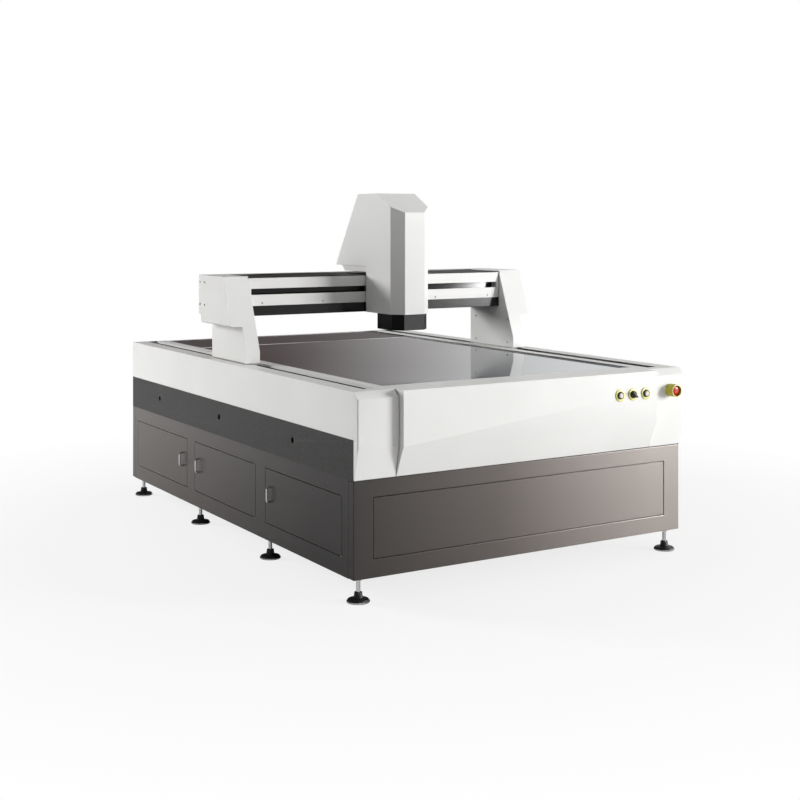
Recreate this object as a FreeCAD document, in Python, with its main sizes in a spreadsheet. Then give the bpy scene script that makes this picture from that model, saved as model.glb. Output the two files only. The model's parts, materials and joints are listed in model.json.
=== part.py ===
import FreeCAD, Part
import os
import re
from FreeCAD import Vector, Rotation, Placement
import Sketcher

# Vision measuring machine: granite table on a steel cabinet, gantry that travels along Y,
# head that travels along X on the gantry's beam, and optics that focus along Z.
# Millimetres. X is across the cabinet, Y runs from front to rear, Z is up from the floor.

doc = FreeCAD.newDocument("VisionMeasuringMachine")
sheet = doc.addObject("Spreadsheet::Sheet", "Sizes")

sizes = {
    # cabinet
    "cabinet_width": 1640, "cabinet_depth": 2392, "cabinet_height": 373, "foot_height": 94,
    "frame_tube": 40, "front_post": 87, "low_rail": 71, "opening_height": 235,
    "front_side_post": 90, "side_post": 94, "rear_side_post": 74,
    "door_gap": 3, "door_thickness": 20, "door_sheet": 2,
    "hinge_edge": 8, "hinge_inset": 5, "hinge_pin_radius": 3, "hinge_pin_depth": 15,
    "hinge_pin_proud": 3, "hinge_collar_radius": 5,
    "running_gap": 0.08, "free_gap": 0.3, "floor_sheet": 3,
    "panel_gap": 2, "panel_thickness": 12, "panel_recess": 2, "lug_height": 30,
    "handle_centres": 62, "handle_reach": 18, "handle_bar": 8, "handle_width": 10,
    "handle_inset": 50, "handle_height": 200, "handle_round": 5,
    "foot_inset": 45, "foot_front": 44, "foot_disc_radius": 44, "foot_disc_height": 12,
    "foot_hub_radius": 18, "foot_hub_height": 26, "foot_stem_radius": 8,
    "foot_nut_radius": 14, "foot_nut_height": 13, "foot_disc_bevel": 4, "foot_hub_slope": 5,
    "foot_hub_taper": 3,
    # granite table
    "granite_thickness": 157, "lifting_hole_radius": 12.5, "lifting_hole_depth": 60,
    "lifting_hole_height": 85, "lifting_hole_first": 512, "lifting_hole_pitch": 745,
    # covers round the table
    "cover_height": 182, "cover_sheet": 2, "slot_inset": 75, "slot_width": 55, "strip_width": 56,
    "slot_front": 60, "slot_rear_margin": 14,
    "cap_width": 183, "cap_gap": 4, "cap_reach": 32, "cap_bevel": 28, "front_reach": 62,
    "front_crease": 124, "front_bottom_lift": 5, "front_bottom_reach": 8,
    "rear_flange": 8,
    # stage
    "glass_front": 107, "glass_length": 1852, "glass_thickness": 12, "glass_drop": 6, "glass_edge_gap": 1,
    "stage_wall": 40, "deck_sheet": 6, "light_margin": 70, "light_height": 36,
    # travel rails along Y
    "rail_width": 23, "rail_height": 22, "block_width": 47, "block_length": 100, "block_height": 36,
    "block_end": 16, "track_inset": 20, "track_width": 45, "track_height": 14, "coil_lift": 4,
    "coil_height": 28, "coil_length": 126,
    # controls
    "control_inset": 64, "control_pitch": 71, "control_drop": 92, "ring_radius": 26, "ring_height": 2,
    "bezel_radius": 15, "bezel_height": 7, "bezel_edge": 1, "housing_radius": 14, "housing_depth": 34,
    "button_radius": 11, "button_proud": 5, "button_length": 26, "button_edge": 2,
    "lever_length": 34, "lever_width": 8, "lever_height": 8, "lever_round": 3.8,
    "stop_inset": 80, "collar_radius": 28, "collar_height": 9, "collar_bevel": 3, "stop_body_radius": 17,
    "stop_body_start": 5, "stop_stem_radius": 9, "stop_stem_length": 48, "stop_gap": 7,
    "mushroom_radius": 20, "mushroom_height": 24, "mushroom_back_taper": 7, "mushroom_shoulder": 7,
    "mushroom_crown_inset": 5, "mushroom_crown_drop": 2, "mushroom_flat_inset": 12,
    # gantry legs
    "leg_front": 1069, "leg_rear": 1450, "leg_lift": 4, "leg_height": 385, "leg_foot_height": 50,
    "leg_slope": 126, "leg_inner_inset": 117, "leg_outer_inset": 49, "leg_overhang": 8,
    "leg_ledge": 162, "leg_wall": 3, "leg_round": 5, "ledge_round": 14,
    "casting_inset": 3, "casting_thickness": 32, "casting_front_gap": 12, "casting_gap": 2,
    "block_lift": 2,
    "beam_pass_gap": 10, "cut_extra": 1,
    # beam
    "beam_drop": 183, "beam_front": 131, "beam_step": 40, "beam_step_height": 46, "beam_rear": 10,
    "beam_top_drop": 5, "beam_plate_thickness": 5, "beam_plate_gap": 0.5,
    "beam_cover_reach": 5, "beam_cover_sheet": 2, "beam_cover_end": 15, "slot_above_step": 51,
    "beam_slot": 28, "rear_cover_depth": 45, "x_rail_width": 15, "x_rail_height": 13, "x_rail_end": 2,
    "x_rail_set": 23, "x_block_length": 58, "x_block_width": 34, "x_block_height": 28,
    "x_block_inset": 4, "x_block_gap": 3,
    # head
    "head_offset": 19, "head_width": 208, "head_reach": 159, "head_depth": 578, "head_beam_gap": 7,
    "head_drop": 1, "head_rear_lift": 35, "head_rear_edge": 6, "head_height": 568,
    "head_front_height": 477,
    "head_brow_depth": 167, "head_top_depth": 193, "head_chamfer": 50, "head_sheet": 2.5,
    "carriage_flange": 10, "carriage_web": 20, "carriage_web_reach": 17, "carriage_plate": 20,
    "carriage_lift": 8, "carriage_height": 475, "saddle_height": 27, "saddle_inset": 80,
    "saddle_bevel": 29,
    "saddle_side_gap": 1.5, "motor_side": 57, "motor_height": 66, "motor_flange": 6,
    "motor_shelf_edge": 10,
    "z_rail_place": 70, "z_rail_width": 15, "z_rail_height": 15, "z_rail_rise": 29, "z_rail_length": 400,
    "screw_radius": 8,
    # optics
    "slide_rise": 149, "slide_height": 120, "slide_width": 170, "slide_thickness": 50, "slide_stand": 3,
    "lens_inset": 96, "lens_radius": 34, "lens_front_radius": 27, "lens_drop": 66, "lens_barrel": 95,
    "lens_cone": 12, "lens_neck": 20, "lens_collar": 10,
    "lens_height": 300, "bracket_rise": 40, "bracket_height": 30, "bracket_width": 90, "camera_side": 58,
    "camera_height": 75, "camera_round": 4, "nose_inset": 8, "nose_drop": 74, "nose_height": 92,
    "nose_depth": 176, "nose_sheet": 3, "ring_light_radius": 70, "ring_light_height": 16,
    "ring_light_lift": 3,
    # inside the cabinet
    "controller_width": 420, "controller_depth": 560, "controller_height": 210,
    "controller_rear": 300, "controller_margin": 40,
}

for row, (name, value) in enumerate(sizes.items(), start=1):
    sheet.set(f"A{row}", name)
    sheet.set(f"B{row}", str(value))
    sheet.setAlias(f"B{row}", name)
doc.recompute()

# Places that follow from the sizes, as expressions.
half = "cabinet_width / 2"
granite_low = "(foot_height + cabinet_height)"
granite_top = f"({granite_low} + granite_thickness)"
cover_top = f"({granite_top} + cover_height)"
glass_top = f"({cover_top} - glass_drop)"
stage_half = f"({half} - slot_inset - slot_width - strip_width)"
slot_outer = f"({half} - slot_inset)"
slot_inner = f"({slot_outer} - slot_width)"
slot_middle = f"({slot_outer} - slot_width / 2)"
opening_low = "(foot_height + low_rail)"
door_opening = "((cabinet_depth - front_side_post - rear_side_post - 2 * side_post) / 3)"
door_pitch = f"({door_opening} + side_post)"
door_length = f"({door_opening} - 2 * door_gap)"
door_height = "(opening_height - 2 * door_gap)"
block_top = f"({granite_top} + block_height)"
leg_low = f"({cover_top} + leg_lift)"
leg_top = f"({leg_low} + leg_height)"
leg_inner = f"({half} - leg_inner_inset)"
casting_inner = f"({leg_inner} + casting_inset)"
beam_low = f"({leg_top} - beam_drop)"
beam_face = "(leg_front + beam_front)"
beam_back = "(leg_rear - beam_rear)"
beam_top = f"({leg_top} - beam_top_drop)"
step_top = f"({beam_low} + beam_step_height)"
rail_face = f"({beam_face} + beam_step)"
cover_face = f"({beam_face} - beam_cover_reach)"
slot_low = f"({step_top} + slot_above_step)"
slot_high = f"({slot_low} + beam_slot)"
control_height = f"({cover_top} - control_drop)"
stop_place = f"({half} - stop_inset)"
head_middle = "head_offset"
head_front = "(leg_front - head_reach)"
head_low = f"({beam_low} - head_drop)"
head_rear_low = f"({leg_top} + head_rear_lift)"
saddle_rear = f"({head_front} + head_depth - saddle_inset)"
lens_axis = f"({head_front} + lens_inset)"
lens_low = f"({head_low} - lens_drop)"
nose_low = f"({head_low} - nose_drop)"
slide_low = f"({head_low} + slide_rise)"
z_rail_low = f"({head_low} + z_rail_rise)"
carriage_low = f"({head_low} + carriage_lift)"
carriage_top = f"({carriage_low} + carriage_height)"
head_rear_face = f"({cover_face} - head_beam_gap)"
carriage_back = f"({rail_face} - x_block_height)"
plate_back = f"({carriage_back} - carriage_flange - carriage_web_reach)"
plate_front = f"({plate_back} - carriage_plate)"
screw_axis = f"({plate_front} - motor_side / 2)"

# The origin is under the middle of the whole machine, so places are moved by these.
handle_out = "(handle_reach + handle_bar / 2)"
front_out = "(front_reach + bezel_height + button_proud + lever_height)"
shift_x = f"({handle_out} - leg_overhang) / 2"
rear_out = "(foot_disc_radius - foot_front)"
shift_y = f"({front_out} - cabinet_depth - {rear_out}) / 2"


def bound(text):
    def named(word):
        return "Sizes." + word.group(0) if word.group(0) in sizes else word.group(0)
    return re.sub(r"[a-z]\w*", named, text)


def bind(item, prop, text):
    item.setExpression(prop, bound(text))


def worth(text):
    return float(sheet.evalExpression(bound(text)))


def put(item, x, y, z):
    bind(item, ".Placement.Base.x", f"{x} + {shift_x}")
    bind(item, ".Placement.Base.y", f"{y} + {shift_y}")
    bind(item, ".Placement.Base.z", z)
    return item


def box(name, length, width, height, x, y, z):
    solid = doc.addObject("Part::Box", name)
    bind(solid, "Length", length)
    bind(solid, "Width", width)
    bind(solid, "Height", height)
    return put(solid, x, y, z)


turns = {"x": Rotation(Vector(0, 1, 0), 90), "y": Rotation(Vector(1, 0, 0), -90), "z": Rotation()}


def rod(name, radius, length, x, y, z, axis="z"):
    solid = doc.addObject("Part::Cylinder", name)
    bind(solid, "Radius", radius)
    bind(solid, "Height", length)
    solid.Placement = Placement(Vector(), turns[axis])
    return put(solid, x, y, z)


def cut(name, base, tools):
    for number, tool in enumerate(tools):
        last = number == len(tools) - 1
        result = doc.addObject("Part::Cut", name if last else f"{name}_cut{number}")
        result.Base = base
        result.Tool = tool
        base = result
    return base


def fuse(name, pieces):
    joined = doc.addObject("Part::MultiFuse", name)
    joined.Shapes = pieces
    joined.Refine = True
    return joined


def together(name, pieces):
    group = doc.addObject("Part::Compound", name)
    group.Links = pieces
    return group


def mirrored(name, source):
    twin = doc.addObject("Part::Mirroring", name)
    twin.Source = source
    twin.Normal = Vector(1, 0, 0)
    bind(twin, "Base.x", shift_x)
    return twin


def body(name, x="0", y="0", z="0", turn=None):
    piece = doc.addObject("PartDesign::Body", name)
    if turn:
        piece.Placement = Placement(Vector(), turn)
    return put(piece, x, y, z)


def sketch(piece, role):
    face = next(part for part in piece.Origin.OriginFeatures if part.Role == role)
    drawing = piece.newObject("Sketcher::SketchObject", f"{piece.Name}_sketch")
    drawing.AttachmentSupport = [(face, "")]
    drawing.MapMode = "FlatFace"
    return drawing


def fix(drawing, line, point, across, up):
    shape = drawing.Geometry[line]
    start = shape.StartPoint if hasattr(shape, "StartPoint") else shape.Center
    for text, kind, axis, place in ((across, "DistanceX", -2, start.x), (up, "DistanceY", -1, start.y)):
        if text == "0":
            drawing.addConstraint(Sketcher.Constraint("PointOnObject", line, point, axis))
        else:
            index = drawing.addConstraint(Sketcher.Constraint(kind, -1, 1, line, point, place))
            drawing.setExpression(f"Constraints[{index}]", bound(text))


def outline(drawing, corners):
    first = drawing.GeometryCount
    spots = [Vector(worth(across), worth(up), 0) for across, up in corners]
    count = len(spots)
    for number in range(count):
        drawing.addGeometry(Part.LineSegment(spots[number], spots[(number + 1) % count]))
    for number in range(count):
        following = first + (number + 1) % count
        drawing.addConstraint(Sketcher.Constraint("Coincident", first + number, 2, following, 1))
    for number, (across, up) in enumerate(corners):
        fix(drawing, first + number, 1, across, up)


def circle(drawing, across, up, radius):
    line = drawing.addGeometry(Part.Circle(Vector(worth(across), worth(up), 0), Vector(0, 0, 1),
                                           worth(radius)))
    fix(drawing, line, 3, across, up)
    index = drawing.addConstraint(Sketcher.Constraint("Radius", line, worth(radius)))
    drawing.setExpression(f"Constraints[{index}]", bound(radius))


def rectangle(length, height):
    return [("0", "0"), (length, "0"), (length, height), ("0", height)]


def window(left, low, right, high):
    return [(left, low), (right, low), (right, high), (left, high)]


def finished(piece, feature):
    piece.Tip = feature
    doc.recompute()
    return feature


def raised(piece, drawing, length, reverse=False):
    feature = piece.newObject("PartDesign::Pad", f"{piece.Name}_pad")
    feature.Profile = drawing
    bind(feature, "Length", length)
    feature.Reversed = reverse
    return finished(piece, feature)


def pad(piece, role, corners, length, reverse=False):
    drawing = sketch(piece, role)
    outline(drawing, corners)
    return raised(piece, drawing, length, reverse)


def pocket(piece, role, corners):
    drawing = sketch(piece, role)
    outline(drawing, corners)
    feature = piece.newObject("PartDesign::Pocket", f"{piece.Name}_pocket")
    feature.Profile = drawing
    feature.Type = "ThroughAll"
    feature.Midplane = True
    return finished(piece, feature)


def turned(piece, corners):
    drawing = sketch(piece, "XY_Plane")
    outline(drawing, corners)
    feature = piece.newObject("PartDesign::Revolution", f"{piece.Name}_turned")
    feature.Profile = drawing
    feature.ReferenceAxis = (drawing, ["V_Axis"])
    feature.Angle = 360
    return finished(piece, feature)


def dress(piece, kind, size, test):
    before = piece.Tip
    limits = before.Shape.BoundBox
    names = [f"Edge{number}" for number, edge in enumerate(before.Shape.Edges, start=1)
             if test(edge, limits)]
    feature = piece.newObject(f"PartDesign::{kind}", f"{piece.Name}_{kind.lower()}")
    feature.Base = (before, names)
    bind(feature, "Radius" if kind == "Fillet" else "Size", size)
    return finished(piece, feature)


def shell(piece, wall, test):
    before = piece.Tip
    limits = before.Shape.BoundBox
    names = [f"Face{number}" for number, face in enumerate(before.Shape.Faces, start=1)
             if test(face, limits)]
    feature = piece.newObject("PartDesign::Thickness", f"{piece.Name}_shell")
    feature.Base = (before, names)
    bind(feature, "Value", wall)
    feature.Reversed = True
    return finished(piece, feature)


along_x = Vector(1, 0, 0)
along_y = Vector(0, 1, 0)
along_z = Vector(0, 0, 1)
touching = 0.0001


def runs(edge, direction):
    straight = isinstance(edge.Curve, Part.Line)
    if not straight:
        return False
    way = edge.Curve.Direction
    return way.isEqual(direction, touching) or way.isEqual(-direction, touching)


def same(first, second):
    return abs(first - second) < touching


def looks(face, direction):
    flat = face.Surface.TypeId == "Part::GeomPlane"
    return flat and face.normalAt(0, 0).isEqual(direction, touching)


def left_end(face, limits):
    return same(face.BoundBox.XMax, limits.XMin)


def right_end(face, limits):
    return same(face.BoundBox.XMin, limits.XMax)


def front_end(face, limits):
    return same(face.BoundBox.YMax, limits.YMin)


def rear_end(face, limits):
    return same(face.BoundBox.YMin, limits.YMax)


def underside(face, limits):
    return same(face.BoundBox.ZMax, limits.ZMin)


def upright_front(edge, limits):
    return runs(edge, along_z) and same(edge.BoundBox.YMin, limits.YMin)


# Frame of the cabinet

def end_frame(name, y):
    piece = body(name, f"-{half}", y, "foot_height")
    pad(piece, "XZ_Plane", rectangle("cabinet_width", "cabinet_height"), "frame_tube", reverse=True)
    pocket(piece, "XZ_Plane", window("front_post", "low_rail", "cabinet_width - front_post",
                                     "low_rail + opening_height"))
    return piece


def side_frame(name, x):
    length = "(cabinet_depth - 2 * frame_tube)"
    first = "(front_side_post - frame_tube)"
    piece = body(name, x, "frame_tube", "foot_height")
    pad(piece, "YZ_Plane", rectangle(length, "cabinet_height"), "frame_tube")
    opening = pocket(piece, "YZ_Plane", window(first, "low_rail", f"{first} + {door_opening}",
                                               "low_rail + opening_height"))
    row = piece.newObject("PartDesign::LinearPattern", name + "_row")
    row.Originals = [opening]
    row.Direction = (opening.Profile[0], ["H_Axis"])
    bind(row, "Length", f"2 * {door_pitch}")
    row.Occurrences = 3
    finished(piece, row)
    return piece


front_frame = end_frame("front_frame_rails", "0")
rear_frame = end_frame("rear_frame_rails", "cabinet_depth - frame_tube")
right_side_frame = side_frame("right_side_frame", f"{half} - frame_tube")
left_rails = side_frame("left_rails", f"-{half}")


# Hinge pins stand in the left rails, above and below each door. The rear door hangs on its rear edge.

doors = {"front_door": (0, False), "middle_door": (1, False), "rear_door": (2, True)}
pin_x = f"(-{half} + hinge_inset)"
pin_span = "(hinge_pin_depth + door_gap + door_sheet + hinge_pin_proud)"
opening_high = f"({opening_low} + opening_height)"


def door_start(bay):
    return f"(front_side_post + {bay} * {door_pitch} + door_gap)"


def hinge_place(bay, at_rear):
    if at_rear:
        return f"({door_start(bay)} + {door_length} - hinge_edge)"
    return f"({door_start(bay)} + hinge_edge)"


pin_holes = []
pins = []
for door, (bay, at_rear) in doors.items():
    pin_y = hinge_place(bay, at_rear)
    hole_low = f"({opening_low} - hinge_pin_depth)"
    pin_holes.append(rod(door + "_low_hole", "hinge_pin_radius", "hinge_pin_depth", pin_x, pin_y,
                         hole_low))
    pin_holes.append(rod(door + "_high_hole", "hinge_pin_radius", "hinge_pin_depth", pin_x, pin_y,
                         opening_high))
    low_pin = rod(door + "_low_pin", "hinge_pin_radius", pin_span, pin_x, pin_y, hole_low)
    collar = rod(door + "_low_collar", "hinge_collar_radius", "door_gap - free_gap", pin_x, pin_y,
                 opening_low)
    pins.append(fuse(door + "_low_hinge", [low_pin, collar]))
    high_foot = f"({opening_high} - door_gap - door_sheet - hinge_pin_proud)"
    pins.append(rod(door + "_high_pin", "hinge_pin_radius", pin_span, pin_x, pin_y, high_foot))
left_side_frame = cut("left_side_frame", left_rails, pin_holes)
hinge_pins = together("hinge_pins", pins)

cabinet_floor = box("cabinet_floor", "cabinet_width - 2 * frame_tube", "cabinet_depth - 2 * frame_tube",
                    "floor_sheet", f"-{half} + frame_tube", "frame_tube", "foot_height")


# Fixed panels: shallow trays that fill the openings, open towards the inside, held by a lug at each end

panel_low = f"{opening_low} + panel_gap"
panel_height = "(opening_height - 2 * panel_gap)"
lug_low = f"{opening_low} + opening_height / 2 - lug_height / 2"
lug_length = "(panel_gap + door_sheet)"
lug_depth = "(panel_thickness - door_sheet)"
end_opening = "(cabinet_width - 2 * front_post)"
panel_inner = f"{half} - panel_recess - panel_thickness"


def end_panel(name, y, lug_y, open_side):
    width = f"({end_opening} - 2 * panel_gap)"
    tray = body(name + "_sheet", f"-{width} / 2", y, panel_low)
    pad(tray, "XZ_Plane", rectangle(width, panel_height), "panel_thickness", reverse=True)
    shell(tray, "door_sheet", open_side)
    left = box(name + "_left_lug", lug_length, lug_depth, "lug_height", f"-{end_opening} / 2", lug_y,
               lug_low)
    right = box(name + "_right_lug", lug_length, lug_depth, "lug_height",
                f"{end_opening} / 2 - {lug_length}",
                lug_y, lug_low)
    return fuse(name, [tray, left, right])


def side_panel(name, bay):
    start = f"(front_side_post + {bay} * {door_pitch})"
    tray = body(name + "_sheet", panel_inner, f"{start} + panel_gap", panel_low)
    pad(tray, "YZ_Plane", rectangle(f"({door_opening} - 2 * panel_gap)", panel_height), "panel_thickness")
    shell(tray, "door_sheet", left_end)
    near = box(name + "_near_lug", lug_depth, lug_length, "lug_height", panel_inner, start, lug_low)
    far = box(name + "_far_lug", lug_depth, lug_length, "lug_height", panel_inner,
              f"{start} + {door_opening} - {lug_length}", lug_low)
    return fuse(name, [tray, near, far])


front_panel = end_panel("front_panel", "panel_recess", "panel_recess + door_sheet", rear_end)
rear_y = "cabinet_depth - panel_recess - panel_thickness"
rear_panel = end_panel("rear_panel", rear_y, rear_y, front_end)
side_panels = [side_panel(f"side_panel_{bay + 1}", bay) for bay in range(3)]
fixed_panels = together("fixed_panels", side_panels + [rear_panel])


# Doors on the left: folded trays with a hole for a pin at each end of the hinge edge, and a bow pull

door_nodes = {}
for door, (bay, at_rear) in doors.items():
    start = door_start(bay)
    tray = body(door + "_tray", f"-{half}", start, f"{opening_low} + door_gap")
    pad(tray, "YZ_Plane", rectangle(door_length, door_height), "door_thickness")
    shell(tray, "door_sheet", right_end)
    drill = rod(door + "_drill", "hinge_pin_radius + running_gap", "opening_height", pin_x,
                hinge_place(bay, at_rear), opening_low)
    door_nodes[door] = cut(door, tray, [drill])

    grip_y = f"{start} + handle_inset" if at_rear else f"{start} + {door_length} - handle_inset"
    tall = "(handle_centres + handle_bar)"
    bow = body(door + "_handle", f"-{half} - {handle_out}", f"{grip_y} + handle_width / 2",
               f"foot_height + handle_height - {tall} / 2")
    pad(bow, "XZ_Plane", [("0", "0"), (handle_out, "0"), (handle_out, "handle_bar"),
                          ("handle_bar", "handle_bar"),
                          ("handle_bar", "handle_centres"), (handle_out, "handle_centres"),
                          (handle_out, tall),
                          ("0", tall)], "handle_width")
    dress(bow, "Fillet", "handle_round",
          lambda edge, limits: runs(edge, along_y) and same(edge.BoundBox.XMin, limits.XMin))
    door_nodes[door + "_handle"] = bow


# Levelling feet: disc with hub, threaded stem and lock nut, four along each side

hub_top = "(foot_disc_height + foot_hub_height)"
hexagon = ((1, 0), (0.5, 0.8660254), (-0.5, 0.8660254), (-1, 0), (-0.5, -0.8660254), (0.5, -0.8660254))
nut_corners = [(f"{across} * foot_nut_radius", f"{up} * foot_nut_radius" if up else "0")
               for across, up in hexagon]
pads = []
stems = []
nuts = []
for side, sign in (("left", -1), ("right", 1)):
    for place in range(4):
        tag = f"{side}_{place + 1}"
        x = f"{sign} * ({half} - foot_inset)"
        y = f"foot_front + {place} * (cabinet_depth - 2 * foot_front) / 3"
        foot_pad = body("foot_pad_" + tag, x, y, "0", Rotation(along_x, 90))
        turned(foot_pad, [("0", "0"), ("foot_disc_radius", "0"), ("foot_disc_radius",
                                                                  "foot_disc_height / 2"),
                          ("foot_disc_radius - foot_disc_bevel", "foot_disc_height"),
                          ("foot_hub_radius", "foot_disc_height + foot_hub_slope"),
                          ("foot_hub_radius - foot_hub_taper", hub_top), ("0", hub_top)])
        pads.append(foot_pad)
        stems.append(rod("foot_stem_" + tag, "foot_stem_radius", f"foot_height - {hub_top}", x, y,
                         hub_top))
        nut = body("foot_nut_" + tag, x, y, "foot_height - foot_nut_height")
        drawing = sketch(nut, "XY_Plane")
        outline(drawing, nut_corners)
        circle(drawing, "0", "0", "foot_stem_radius")
        raised(nut, drawing, "foot_nut_height")
        nuts.append(nut)
foot_pads = together("foot_pads", pads)
foot_stems = together("foot_stems", stems + nuts)


# Granite table with lifting holes in both sides

slab = box("granite_slab", "cabinet_width", "cabinet_depth", "granite_thickness", f"-{half}", "0",
           granite_low)
lifting = []
for side, x in (("left", f"-{half}"), ("right", f"{half} - lifting_hole_depth")):
    for place in range(3):
        y = f"lifting_hole_first + {place} * lifting_hole_pitch"
        lifting.append(rod(f"lifting_{side}_{place + 1}", "lifting_hole_radius", "lifting_hole_depth", x,
                           y,
                           f"{granite_low} + lifting_hole_height", "x"))
granite_base = cut("granite_base", slab, lifting)


# Covers round the table. A slot along each side lets the gantry's legs through.

slot_length = "(cabinet_depth - slot_front - slot_rear_margin)"
shelf_width = "(slot_inset + slot_width)"
shelf_low = "(cover_height - cover_sheet)"
left_side_cover = body("left_side_cover", f"-{half}", "0", granite_top)
pad(left_side_cover, "XZ_Plane", [("0", "0"), ("cover_sheet", "0"), ("cover_sheet", shelf_low),
                                  (shelf_width, shelf_low), (shelf_width, "cover_height"),
                                  ("0", "cover_height")],
    "cabinet_depth", reverse=True)
pocket(left_side_cover, "XY_Plane", window("slot_inset", "slot_front", f"{shelf_width} + cut_extra",
                                           f"slot_front + {slot_length}"))
dress(left_side_cover, "Chamfer", "cover_sheet",
      lambda edge, limits: runs(edge, along_y) and same(edge.BoundBox.ZMax, limits.ZMax)
      and same(edge.BoundBox.XMin, limits.XMin))
right_side_cover = mirrored("right_side_cover", left_side_cover)

strip = body("left_slot_strip", f"-{slot_inner}", "0", granite_top)
pad(strip, "XZ_Plane", [("0", "0"), ("cover_sheet", "0"), ("cover_sheet", shelf_low),
                        ("strip_width", shelf_low),
                        ("strip_width", "cover_height"), ("0", "cover_height")],
    "cabinet_depth - rear_flange", reverse=True)
slot_strips = together("slot_strips", [strip, mirrored("right_slot_strip", strip)])

front_low = f"({granite_low} + front_bottom_lift)"
crease = "(front_crease - front_bottom_lift)"
cover_rise = "(granite_thickness + cover_height - front_bottom_lift)"
ledge_rise = f"({cover_rise} - cover_height)"
middle_width = "(cabinet_width - 2 * cap_width)"
front_reach_back = "(front_reach + glass_front - glass_edge_gap)"
front_sheet = body("front_cover_sheet", f"-{middle_width} / 2", "-front_reach", front_low)
pad(front_sheet, "YZ_Plane", [("front_reach - front_bottom_reach", "0"), ("front_reach", "0"),
                              ("front_reach", ledge_rise), (front_reach_back, ledge_rise),
                              (front_reach_back, cover_rise), ("0", cover_rise), ("0", crease)],
    middle_width)
shell(front_sheet, "cover_sheet", lambda face, limits: looks(face, -along_z) or looks(face, along_y))
notch_width = "(strip_width + cut_extra)"
front_cuts = [box("left_strip_notch", notch_width, "glass_front", "cover_height",
                  f"-{slot_inner} - cut_extra",
                  "0", granite_top),
              box("right_strip_notch", notch_width, "glass_front", "cover_height", stage_half, "0",
                  granite_top)]


def control_place(place):
    return f"({half} - cap_width - control_inset - {2 - place} * control_pitch)"


for place in range(3):
    front_cuts.append(rod(f"control_hole_{place + 1}", "housing_radius", "cover_sheet",
                          control_place(place),
                          "-front_reach", control_height, "y"))
front_cover = cut("front_cover", front_sheet, front_cuts)

left_front_cap = body("left_front_cap", f"-{half}", "-cap_reach", front_low)
pad(left_front_cap, "YZ_Plane", [("cap_reach - front_bottom_reach", "0"), ("cap_reach", "0"),
                                 ("cap_reach", cover_rise), ("0", f"{cover_rise} - cap_bevel"),
                                 ("0", crease)],
    "cap_width - cap_gap")
dress(left_front_cap, "Fillet", "leg_round",
      lambda edge, limits: upright_front(edge, limits) and same(edge.BoundBox.XMin, limits.XMin))
shell(left_front_cap, "cover_sheet", lambda face, limits: looks(face, along_y))
right_cap_sheet = mirrored("right_cap_sheet", left_front_cap)
stop_hole = rod("stop_hole", "stop_body_radius", "cover_sheet", stop_place, "-cap_reach", control_height,
                "y")
right_front_cap = cut("right_front_cap", right_cap_sheet, [stop_hole])

rear_cover = body("rear_cover", f"-{half} + cover_sheet", "cabinet_depth - rear_flange", granite_top)
rear_inner = "(rear_flange - cover_sheet)"
pad(rear_cover, "YZ_Plane", [(rear_inner, "0"), ("rear_flange", "0"), ("rear_flange", shelf_low),
                             ("0", shelf_low),
                             ("0", f"{shelf_low} - cover_sheet"),
                             (rear_inner, f"{shelf_low} - cover_sheet")],
    "cabinet_width - 2 * cover_sheet")


# Stage: a frame on the granite, the backlight inside it, the glass on it and a dark deck behind it

stage_width = f"(2 * {stage_half} - 2 * glass_edge_gap)"
stage_left = f"-{stage_width} / 2"
glass_low = f"({glass_top} - glass_thickness)"
stage_frame = body("stage_frame", stage_left, "glass_front", granite_top)
pad(stage_frame, "XY_Plane", rectangle(stage_width, "glass_length"), f"{glass_low} - {granite_top}")
pocket(stage_frame, "XY_Plane", window("stage_wall", "stage_wall", f"{stage_width} - stage_wall",
                                       "glass_length - stage_wall"))
glass_stage = box("glass_stage", stage_width, "glass_length", "glass_thickness", stage_left,
                  "glass_front", glass_low)
backlight_panel = box("backlight_panel", f"{stage_width} - 2 * light_margin",
                      "glass_length - 2 * light_margin",
                      "light_height", f"{stage_left} + light_margin", "glass_front + light_margin",
                      granite_top)
deck_start = "(glass_front + glass_length + glass_edge_gap)"
deck_length = f"(cabinet_depth - rear_flange - glass_edge_gap - {deck_start})"
deck_rise = f"({glass_top} - {granite_top})"
deck_inner = f"({deck_length} - deck_sheet)"
rear_deck = body("rear_deck", stage_left, deck_start, granite_top)
pad(rear_deck, "YZ_Plane", [("0", "0"), ("deck_sheet", "0"), ("deck_sheet", f"{deck_rise} - deck_sheet"),
                            (deck_inner, f"{deck_rise} - deck_sheet"), (deck_inner, "0"),
                            (deck_length, "0"),
                            (deck_length, deck_rise), ("0", deck_rise)], stage_width)


# Guide rails and motor tracks for the gantry, one each side under the slots

rails = []
tracks = []
for side, sign in (("left", -1), ("right", 1)):
    rails.append(box(f"{side}_rail", "rail_width", slot_length, "rail_height",
                     f"{sign} * {slot_middle} - rail_width / 2", "slot_front", granite_top))
    tracks.append(box(f"{side}_track", "track_width", slot_length, "track_height",
                      f"{sign} * ({half} - track_inset - track_width / 2) - track_width / 2",
                      "slot_front",
                      granite_top))
guide_rails = together("guide_rails", rails)
magnet_tracks = together("magnet_tracks", tracks)


# Controls on the front: two buttons, a lever between them, and a stop button on the right cap

def outward(name, x, y, corners):
    piece = body(name, x, y, control_height, Rotation(along_z, 180))
    turned(piece, corners)
    return piece


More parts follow.
